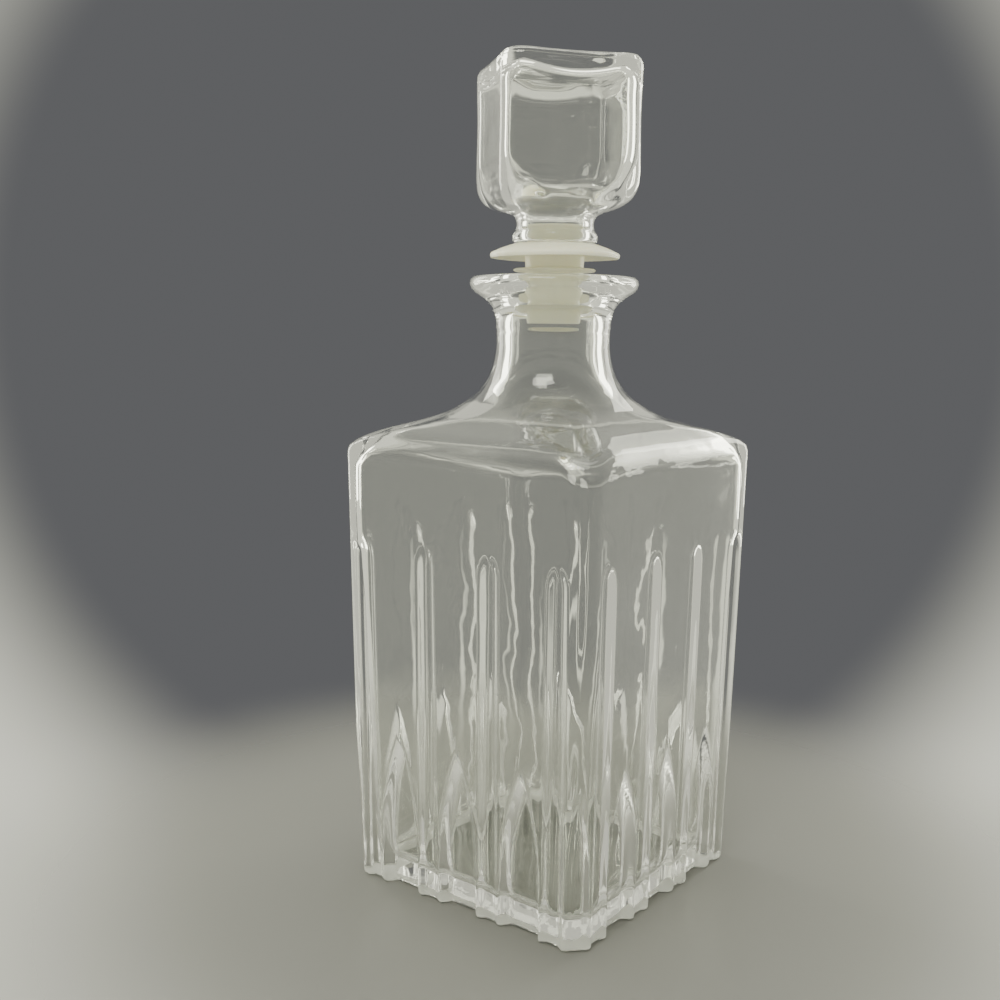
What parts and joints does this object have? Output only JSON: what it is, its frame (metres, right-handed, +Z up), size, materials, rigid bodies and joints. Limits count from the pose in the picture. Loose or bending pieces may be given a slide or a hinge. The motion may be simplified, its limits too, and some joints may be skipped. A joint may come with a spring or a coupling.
{
  "type": "decanter",
  "caption": "Square glass decanter with tall flutes over pointed arches, a flared round neck and a hollow glass stopper block on a finned plastic plug.",
  "frame": {"origin": "centre of the flat base, on the surface the bottle stands on", "axes": "+Z up along the neck; the four flat faces look along +X, -X, +Y and -Y"},
  "size_m": [0.0948, 0.0948, 0.2578],
  "materials": {
    "clear_glass": "polished",
    "cream_plastic": "satin"
  },
  "bodies": {
    "bottle": {"decanter_body": "clear_glass"},
    "plug": {"stopper_plug": "cream_plastic"},
    "head": {"stopper_head": "clear_glass"}
  },
  "joints": [
    {"name": "stopper_lift", "type": "slide", "parent": "bottle", "child": "plug", "axis": [0, 0, 1], "range_m": [-0.0053, 0.045]},
    {"name": "stopper_turn", "type": "hinge", "parent": "plug", "child": "head", "pos_m": [0, 0, 0.2037], "axis": [0, 0, 1], "continuous": true}
  ]
}
